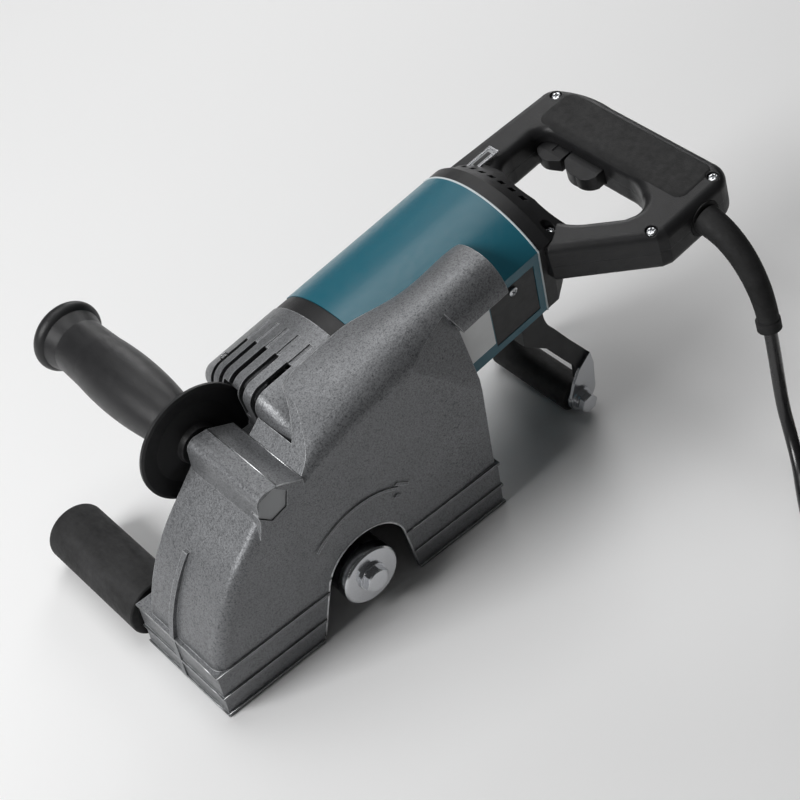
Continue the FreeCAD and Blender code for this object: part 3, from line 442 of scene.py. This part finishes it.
# ---------------------------------------------------------------- mesh helpers
def add_piece(name, points, faces, slot, body="root", material=None, smooth=True):
    """Skin made of points and faces as a piece that rides on a body, finished with the given
    material, or else with the finish of the slot.
    """
    mesh = bpy.data.meshes.new(name)
    mesh.from_pydata([tuple(p) for p in points], [], faces)
    fix = bmesh.new()
    fix.from_mesh(mesh)
    bmesh.ops.remove_doubles(fix, verts=fix.verts, dist=1e-6)
    bmesh.ops.recalc_face_normals(fix, faces=fix.faces)
    fix.to_mesh(mesh)
    fix.free()
    for face in mesh.polygons:
        face.use_smooth = smooth
    obj = bpy.data.objects.new(name, mesh)
    bpy.context.scene.collection.objects.link(obj)
    mesh.materials.append(material or FINISH[slot])
    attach(obj, body)
    return obj


def rings_to_faces(count, around, closed_ends=True):
    faces = []
    for i in range(count - 1):
        for j in range(around):
            k = (j + 1) % around
            low, high = i * around, (i + 1) * around
            faces.append((low + j, low + k, high + k, high + j))
    if closed_ends:
        faces.append(tuple(range(around - 1, -1, -1)))
        faces.append(tuple((count - 1) * around + j for j in range(around)))
    return faces


def tube_mesh(name, line, radius, slot, closed=False, around=10, material=None):
    """Round bead along a line of points."""
    points = []
    total = len(line)
    for i, point in enumerate(line):
        before = line[(i - 1) % total] if closed else line[max(i - 1, 0)]
        after = line[(i + 1) % total] if closed else line[min(i + 1, total - 1)]
        run = (after - before).normalized()
        side = run.cross(Vector((0, 0, 1)) if abs(run.z) < 0.9 else Vector((1, 0, 0))).normalized()
        top = side.cross(run)
        for j in range(around):
            turn = 2 * math.pi * j / around
            points.append(point + radius * (math.cos(turn) * side + math.sin(turn) * top))
    faces = rings_to_faces(total, around, not closed)
    if closed:
        last = (total - 1) * around
        faces += [(last + j, last + (j + 1) % around, (j + 1) % around, j) for j in range(around)]
    return add_piece(name, points, faces, slot, material=material)


# ---------------------------------------------------------------- plug
def make_plug():
    """Moulded two-pin plug with ribbed entry, lying on the floor beside the coil."""
    start, ahead = plug_place()
    start = start + ORIGIN
    side = ahead.cross(Vector((0, 0, 1)))
    rise = Vector((0, 0, 1))
    around = 32
    flat = 0.72                  # below 1, so the sections are rounded boxes
    # Distance along the plug, half width, half height and height of the middle, in mm.
    sections = [(0.0, 5.4, 4.7, 4.7), (3, 6.2, 4.75, 4.75)]
    for i in range(5):
        at = 5 + 4 * i
        wide = 6.6 + 0.45 * i
        high = wide * 0.72
        sections += [(at, wide, high, high), (at + 2.4, wide, high, high),
                     (at + 2.7, wide - 1.0, high - 0.8, high),
                     (at + 3.7, wide - 1.0, high - 0.8, high)]
    sections += [(25.5, 9.5, 7.0, 7.2), (28, 13, 9.8, 10), (32, 15.6, 11.6, 11.7),
                 (46, 16.6, 12.0, 12.1), (59, 17.2, 12.4, 12.45), (61.4, 17.0, 12.2, 12.45),
                 (62.0, 16.2, 11.6, 12.45)]
    points = []
    for distance, half_width, half_height, middle in sections:
        for j in range(around):
            turn = 2 * math.pi * j / around
            c, d = math.cos(turn), math.sin(turn)
            across = half_width * math.copysign(abs(c) ** flat, c)
            up = half_height * math.copysign(abs(d) ** flat, d)
            lift = up + middle - CORD_R / MM
            points.append(start + (ahead * distance + side * across + rise * lift) * MM)
    body = add_piece("plug_body", points, rings_to_faces(len(sections), around), "black_plastic")
    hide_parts("power_plug")
    pins = []
    pin_sections = ((0, 2.0), (9, 2.0), (9.4, 2.35), (18, 2.35), (19.3, 1.9), (19.9, 1.0))
    for sign in (-1, 1):
        foot = start + (ahead * 61 + side * (9.5 * sign) + rise * 7.7) * MM
        rings = []
        for distance, radius in pin_sections:
            for j in range(16):
                turn = 2 * math.pi * j / 16
                out = side * radius * math.cos(turn) + rise * radius * math.sin(turn)
                rings.append(foot + (ahead * distance + out) * MM)
        name = "plug_pin_left" if sign < 0 else "plug_pin_right"
        pins.append(add_piece(name, rings, rings_to_faces(6, 16), "brass"))
    return [body] + pins


plug_pieces = make_plug()


# ---------------------------------------------------------------- fine details on the machine
def pitched(point):
    """s, y and h in mm of a point of the row frame."""
    local = (point - ORIGIN) / MM
    return local.dot(ALONG), local.y, local.dot(UPWARD)


def rear_outline(name):
    """Outer edge of a motor casing at its rear end, as points of the row frame."""
    spots = [pitched(v.co) for v in nodes[name].data.vertices]
    end = max(s for s, y, h in spots)
    flat = [Vector((y, h)) for s, y, h in spots if abs(s - end) < 0.3]
    hull = [flat[i] for i in convex_hull_2d(flat)]
    corners = []
    for i, point in enumerate(hull):
        ahead = hull[(i + 1) % len(hull)]
        steps = max(1, round((ahead - point).length / 3))
        corners += [point.lerp(ahead, k / steps) for k in range(steps)]
    return [tilted(end, p.x, p.y) for p in corners]


# Pale bead round the rear end of the teal housing: a painted highlight along its edge.
tube_mesh("rear_rim_highlight", rear_outline("motor_housing"), 0.75 * MM, "label_white", closed=True,
          material=RIM_HIGHLIGHT_PAINT)


HEAD_HEIGHT, HEAD_CROWN, CROSS_DEPTH = 2.5, 0.9, 1.3     # mm
CROSS_WIDTH, CROSS_REACH = 0.13, 0.62                    # of the head's radius


def screw_head(name, place, axis, radius):
    """Pan head with a cross recess, its underside at place."""
    side = axis.orthogonal().normalized()
    other = axis.cross(side)
    rings, around = 15, 48
    points = []
    for i in range(rings + 1):
        r = radius * i / rings
        for j in range(around):
            turn = 2 * math.pi * j / around
            a, b = r * math.cos(turn), r * math.sin(turn)
            height = HEAD_HEIGHT - HEAD_CROWN * (r / radius) ** 3
            near, far = min(abs(a), abs(b)), max(abs(a), abs(b))
            slot = near < CROSS_WIDTH * radius and far < CROSS_REACH * radius
            lift = height - (CROSS_DEPTH if slot else 0)
            points.append(place + (side * a + other * b + axis * lift) * MM)
    for j in range(around):
        turn = 2 * math.pi * j / around
        rim = side * math.cos(turn) + other * math.sin(turn)
        points.append(place + rim * radius * MM)
    return add_piece(name, points, rings_to_faces(rings + 2, around), "zinc", smooth=False)


HANDLE_SCREWS = ((455, 110), (458, -36), (399, -35), (360, 22), (360, 118))   # s and y, mm
HANDLE_SEAT = 132.2                                                           # h, mm


def make_screws():
    heads = []
    for i, (s, y) in enumerate(HANDLE_SCREWS):
        foot = tilted(s, y, HANDLE_SEAT)
        heads.append(screw_head("handle_screw_%d" % (i + 1), foot, UPWARD, 3.9))
    outward = Vector((0, -1, 0)) - 0.12 * UPWARD
    foot = tilted(314, 15.1, 121) + outward.normalized() * 0.1 * MM
    heads.append(screw_head("panel_screw", foot, outward.normalized(), 3.6))
    for head in heads:
        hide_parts("case_screws")


make_screws()


NOTCH_FOOT = (84.5, 4)                            # x and z on the blade side, mm
NOTCH_CROWN = ((96.5, 45), (129, 71), (163, 46))


def circle_through(first, second, third):
    """Middle of the circle through three points of a plane."""
    (ax, az), (bx, bz), (cx, cz) = first, second, third
    a, b, c = ax * ax + az * az, bx * bx + bz * bz, cx * cx + cz * cz
    d = 2 * (ax * (bz - cz) + bx * (cz - az) + cx * (az - bz))
    return ((a * (bz - cz) + b * (cz - az) + c * (az - bz)) / d,
            (a * (cx - bx) + b * (ax - cx) + c * (bx - ax)) / d)


def notch_lip():
    """Rounded lip round the opening for the flange, in pale colour: a painted highlight along the
    casting's edge.
    """
    (ax, az), (cx, cz) = NOTCH_CROWN[0], NOTCH_CROWN[2]
    ux, uz = circle_through(*NOTCH_CROWN)
    radius = math.hypot(ax - ux, az - uz)
    start, end = math.atan2(az - uz, ax - ux), math.atan2(cz - uz, cx - ux)
    (foot_x, foot_z), line = NOTCH_FOOT, [NOTCH_FOOT]
    for i in range(1, 9):
        line.append((foot_x + (ax - foot_x) * i / 9, foot_z + (az - foot_z) * i / 9))
    for i in range(41):
        turn = start + (end - start) * i / 40
        line.append((ux + radius * math.cos(turn), uz + radius * math.sin(turn)))
    for i in range(1, 9):
        line.append((cx + 6.2 * i / 9, cz - 42 * i / 9))
    tube_mesh("notch_lip", [work(x, 0.35, z) for x, z in line], 0.85 * MM, "cast_grey",
              material=EDGE_HIGHLIGHT_PAINT)


notch_lip()


BOSS_WIDTH = (0.3, 36, 72.7)              # y of the points along the boss's crest, mm
CREST_FRONT, CREST_REAR = (79, 162), (98, 152.5)        # x and z, mm
BAND_HEIGHTS = (2.6, 19.8, 42.0)          # z of the rim's ridges, mm
BAND_FRONT, BAND_REAR = (-1.2, 83), (169, 250.2)        # x from and to, mm
BAND_OUT, NOSE_LENGTH = -1.2, 91          # y of the ridges, and how far they run across the nose


def painted_highlight_ridges():
    """Pale beads along the casting's ridges: painted highlights where the ridges catch the light.
    """
    (front_x, front_z), (rear_x, rear_z) = CREST_FRONT, CREST_REAR
    highlight_bead = dict(radius=0.42 * MM, slot="cast_grey", around=8, material=EDGE_HIGHLIGHT_PAINT)
    tube_mesh("crest_edge_front", [work(front_x, y, front_z) for y in BOSS_WIDTH], **highlight_bead)
    tube_mesh("crest_edge_rear", [work(rear_x, y, rear_z) for y in BOSS_WIDTH], **highlight_bead)
    crest = [work(front_x, 0, front_z), work(88.5, 0, 157.2), work(rear_x, 0, rear_z)]
    tube_mesh("crest_edge_end", crest, **highlight_bead)
    highlight_bead["radius"] = 0.32 * MM
    for i, z in enumerate(BAND_HEIGHTS):
        for part, (x0, x1) in (("front", BAND_FRONT), ("rear", BAND_REAR)):
            line = [work(x0 + (x1 - x0) * k / 6, BAND_OUT, z) for k in range(7)]
            tube_mesh("band_%d_%s" % (i + 1, part), line, **highlight_bead)
        nose = [work(BAND_FRONT[0], BAND_OUT + NOSE_LENGTH * k / 6, z) for k in range(7)]
        tube_mesh("band_%d_nose" % (i + 1), nose, **highlight_bead)


painted_highlight_ridges()


def surface_of(name):
    mesh = nodes[name].data
    return BVHTree.FromPolygons([v.co.copy() for v in mesh.vertices],
                                [tuple(f.vertices) for f in mesh.polygons])


def pad_on_handle(name, low, high, material, slot, radius, step, thick):
    """Soft panel that follows the top of the handle inside a rounded outline in s and y."""
    low, high = Vector(low), Vector(high)
    tree = surface_of("handle_upper")
    columns, rows = round((high.x - low.x) / step), round((high.y - low.y) / step)
    top, points, faces = {}, [], []
    for i in range(columns + 1):
        for j in range(rows + 1):
            s = low.x + (high.x - low.x) * i / columns
            y = low.y + (high.y - low.y) * j / rows
            over_s = max(low.x + radius - s, s - high.x + radius, 0)
            over_y = max(low.y + radius - y, y - high.y + radius, 0)
            if over_s and over_y:
                reach = math.hypot(over_s, over_y)
            else:
                reach = max(over_s, over_y)
            if reach > radius:
                shrink = radius / reach
                s += math.copysign(over_s * (1 - shrink), (low.x + high.x) / 2 - s)
                y += math.copysign(over_y * (1 - shrink), (low.y + high.y) / 2 - y)
                reach = radius
            hit = tree.ray_cast(tilted(s, y, 160), -UPWARD, 0.06)[0]
            if hit is None:
                continue
            edge = min(1.0, (radius - reach) / 1.6)
            top[i, j] = len(points)
            points.append(hit + UPWARD * (thick * math.sqrt(edge) - 0.15) * MM)
    for i in range(columns):
        for j in range(rows):
            keys = [(i, j), (i + 1, j), (i + 1, j + 1), (i, j + 1)]
            if all(key in top for key in keys):
                faces.append(tuple(top[key] for key in keys))
    return add_piece(name, points, faces, slot, material=material)


pad_on_handle("soft_grip_panel", (429, -33), (464, 104), SOFT_GRIP, "black_rubber",
              radius=8, step=1.2, thick=0.7)


# Corners in s and y, and heights h, in mm.
BADGE_OUTER, BADGE_INNER = ((366, 101), (390, 110)), ((368, 102.6), (388, 108.4))
BADGE_FIELD = (370.5, 103.8), (385.5, 107.2)
BADGE_FOOT, BADGE_TOP, FIELD_TOP = 138.9, 139.6, 139.05


def badge():
    """Plate on the handle: pale frame round a dark field, with nothing on it."""
    points, faces = [], []
    for (s0, y0), (s1, y1) in (BADGE_OUTER, BADGE_INNER):
        for height in (BADGE_FOOT, BADGE_TOP):
            points += [tilted(s, y, height) for s, y in ((s0, y0), (s1, y0), (s1, y1), (s0, y1))]
    for k in range(4):
        m = (k + 1) % 4
        faces += [(k, m, 4 + m, 4 + k), (8 + k, 12 + k, 12 + m, 8 + m),
                  (4 + k, 4 + m, 12 + m, 12 + k), (k, 8 + k, 8 + m, m)]
    add_piece("badge_frame", points, faces, "zinc", smooth=False)
    (s0, y0), (s1, y1) = BADGE_FIELD
    cells = [tilted(s0 + (s1 - s0) * i / 6, y0 + (y1 - y0) * j / 3,
                    FIELD_TOP + 0.25 * (0 < i < 6 and 0 < j < 3))
             for i in range(7) for j in range(4)]
    quads = [(4 * i + j, 4 * i + j + 4, 4 * i + j + 5, 4 * i + j + 1)
             for i in range(6) for j in range(3)]
    add_piece("badge_field", cells, quads, "black_plastic")


badge()


HOOK_PLACE, HOOK_RADIUS, WIRE_RADIUS = (146, 109, 151.5), 2.6, 0.55     # s, y, h and sizes, mm


def wire_hook():
    """Small wire loop at the front of the gear housing's crown."""
    middle = tilted(*HOOK_PLACE)
    line = []
    for i in range(17):
        turn = math.radians(-50 + 280 * i / 16)
        line.append(middle + (ALONG * math.cos(turn) + UPWARD * math.sin(turn)) * HOOK_RADIUS * MM)
    tube_mesh("wire_hook", line, WIRE_RADIUS * MM, "zinc")


wire_hook()


# ---------------------------------------------------------------- stage and light
BRIGHT_SIDE = (-0.35, 0.45, 0.82)       # the way towards the brightest part of the studio
SKY_LEVELS = 0.74, 1.40                 # strength on the dark and on the bright side


def make_stage():
    bpy.ops.mesh.primitive_plane_add(size=12, location=(0, 0, -0.0004))
    floor = bpy.context.object
    floor.name = "floor"
    s = Shader("pale_floor")
    s.finish(s.mix((0.86, 0.86, 0.86), (0.89, 0.89, 0.89), s.noise(2.0, 2.0)))
    s.set(Roughness=0.8)
    dress(floor, s.material)
    world = bpy.data.worlds.new("studio")
    bpy.context.scene.world = world
    world.use_nodes = True
    studio = world.node_tree
    sky = studio.nodes.new("ShaderNodeTexCoord")
    lean = studio.nodes.new("ShaderNodeVectorMath")
    lean.operation = "DOT_PRODUCT"
    lean.inputs[1].default_value = BRIGHT_SIDE
    band = studio.nodes.new("ShaderNodeMapRange")
    band.inputs["From Min"].default_value = -0.45
    band.inputs["From Max"].default_value = 0.75
    band.inputs["To Min"].default_value, band.inputs["To Max"].default_value = SKY_LEVELS
    studio.links.new(sky.outputs["Generated"], lean.inputs[0])
    studio.links.new(lean.outputs["Value"], band.inputs["Value"])
    studio.links.new(band.outputs["Result"], studio.nodes["Background"].inputs["Strength"])
    bpy.context.scene.view_settings.view_transform = "Standard"


def area_light(name, place, size, power, target=(0, 0, 0.08)):
    data = bpy.data.lights.new(name, "AREA")
    data.shape = "RECTANGLE"
    data.size, data.size_y = size
    data.energy = power
    light = bpy.data.objects.new(name, data)
    bpy.context.scene.collection.objects.link(light)
    light.location = place
    aim = Vector(target) - Vector(place)
    light.rotation_euler = aim.to_track_quat("-Z", "Y").to_euler()


make_stage()
area_light("key", (-1.5, 0.2, 1.2), (0.8, 0.8), 26)
area_light("top", (0.1, 0.6, 1.9), (1.3, 1.3), 15)
area_light("rim", (1.2, 1.3, 0.9), (0.8, 0.8), 9)

bpy.context.view_layer.update()
